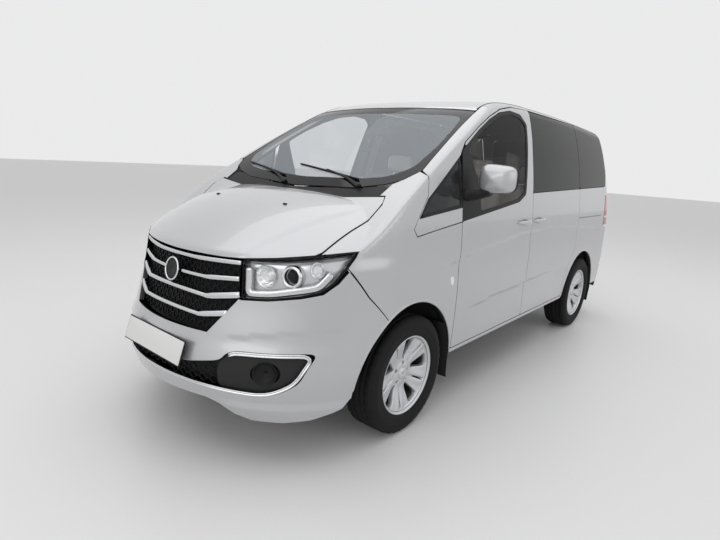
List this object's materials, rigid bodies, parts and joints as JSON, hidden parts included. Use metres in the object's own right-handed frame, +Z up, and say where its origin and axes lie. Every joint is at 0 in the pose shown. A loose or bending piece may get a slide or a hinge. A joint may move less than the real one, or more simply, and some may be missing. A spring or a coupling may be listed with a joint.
{
  "type": "compact seven-seat minivan",
  "caption": "Compact minivan with opening front doors, bonnet and tailgate, steered front wheels and a furnished cabin.",
  "frame": {"origin": "on the ground, below the middle of the vehicle's length and width", "axes": "-Y towards the front, +X towards the vehicle's left, +Z up"},
  "size_m": [2.155, 4.6394, 1.9248],
  "materials": {
    "silver_paint": "metallic gloss",
    "dark_glass": "tinted",
    "clear_glass": "clear",
    "black_plastic": "satin moulded",
    "lamp_lens": "clear gloss",
    "red_lens": "gloss",
    "chassis_black": "satin",
    "cast_metal": "cast",
    "exhaust_steel": "dull",
    "underbody": "matt sealed",
    "grey_trim": "grained",
    "black_trim": "grained",
    "seat_cloth": "woven",
    "rubber": "matt",
    "tyre": "matt",
    "wheel_alloy": "painted silver"
  },
  "bodies": {
    "body": {"body_side_left": "silver_paint", "body_side_right": "silver_paint", "sliding_door_left": "silver_paint", "sliding_door_right": "silver_paint", "side_glass": "dark_glass", "roof": "silver_paint", "windscreen": "clear_glass", "cowl": "black_plastic", "front_wings": "silver_paint", "front_bumper": "silver_paint", "grille": "black_plastic", "lower_grille": "black_plastic", "headlamps": "lamp_lens", "tail_lamps": "red_lens", "rear_bumper": "silver_paint", "chassis_frame": "chassis_black", "front_suspension": "chassis_black", "rear_axle": "chassis_black", "engine_block": "cast_metal", "radiator": "cast_metal", "propeller_shaft": "chassis_black", "exhaust": "exhaust_steel", "fuel_tank": "chassis_black", "floor": "underbody", "wheel_housings": "underbody", "bulkhead": "underbody", "dashboard": "grey_trim", "front_seats": "seat_cloth", "second_row_seats": "seat_cloth", "third_row_seats": "seat_cloth", "mud_flaps": "rubber", "wipers": "black_plastic"},
    "bonnet": {"bonnet": "silver_paint"},
    "tailgate": {"tailgate": "silver_paint", "tailgate_glass": "dark_glass"},
    "steering_wheel": {"steering_wheel": "black_trim"},
    "front_door_left": {"front_door_left": "silver_paint", "door_glass_left": "clear_glass", "door_mirror_left": "silver_paint"},
    "knuckle_left": {"knuckle_left": "chassis_black"},
    "wheel_front_left": {"rim_front_left": "wheel_alloy", "tyre_front_left": "tyre"},
    "wheel_rear_left": {"rim_rear_left": "wheel_alloy", "tyre_rear_left": "tyre"},
    "front_door_right": {"front_door_right": "silver_paint", "door_glass_right": "clear_glass", "door_mirror_right": "silver_paint"},
    "knuckle_right": {"knuckle_right": "chassis_black"},
    "wheel_front_right": {"rim_front_right": "wheel_alloy", "tyre_front_right": "tyre"},
    "wheel_rear_right": {"rim_rear_right": "wheel_alloy", "tyre_rear_right": "tyre"}
  },
  "joints": [
    {"name": "steering_left", "type": "hinge", "parent": "body", "child": "knuckle_left", "pos_m": [0.608, -1.3075, 0.331], "axis": [0, 0, 1], "range_deg": [-32, 32]},
    {"name": "front_wheel_left_spin", "type": "hinge", "parent": "knuckle_left", "child": "wheel_front_left", "pos_m": [0.75, -1.3075, 0.331], "axis": [1, 0, 0], "continuous": true},
    {"name": "rear_wheel_left_spin", "type": "hinge", "parent": "body", "child": "wheel_rear_left", "pos_m": [0.75, 1.5025, 0.331], "axis": [1, 0, 0], "continuous": true},
    {"name": "front_door_left_hinge", "type": "hinge", "parent": "body", "child": "front_door_left", "pos_m": [0.866, -0.8915, 0.76], "axis": [0, 0, -1], "range_deg": [0, 68]},
    {"name": "steering_right", "type": "hinge", "parent": "body", "child": "knuckle_right", "pos_m": [-0.608, -1.3075, 0.331], "axis": [0, 0, 1], "range_deg": [-32, 32]},
    {"name": "front_wheel_right_spin", "type": "hinge", "parent": "knuckle_right", "child": "wheel_front_right", "pos_m": [-0.75, -1.3075, 0.331], "axis": [1, 0, 0], "continuous": true},
    {"name": "rear_wheel_right_spin", "type": "hinge", "parent": "body", "child": "wheel_rear_right", "pos_m": [-0.75, 1.5025, 0.331], "axis": [1, 0, 0], "continuous": true},
    {"name": "front_door_right_hinge", "type": "hinge", "parent": "body", "child": "front_door_right", "pos_m": [-0.866, -0.8915, 0.76], "axis": [0, 0, 1], "range_deg": [0, 68]},
    {"name": "bonnet_hinge", "type": "hinge", "parent": "body", "child": "bonnet", "pos_m": [0, -1.4295, 1.292], "axis": [-1, 0, 0], "range_deg": [0, 52]},
    {"name": "tailgate_hinge", "type": "hinge", "parent": "body", "child": "tailgate", "pos_m": [0, 2.0975, 1.87], "axis": [1, 0, 0], "range_deg": [0, 82]},
    {"name": "steering_wheel_turn", "type": "hinge", "parent": "body", "child": "steering_wheel", "pos_m": [0.37, -0.5725, 1.085], "axis": [0, 0.8829, 0.4695], "range_deg": [-520, 520]}
  ],
  "couplings": [
    {"joint": "steering_right", "follows": "steering_left", "ratio": 1},
    {"joint": "steering_wheel_turn", "follows": "steering_left", "ratio": 16}
  ]
}
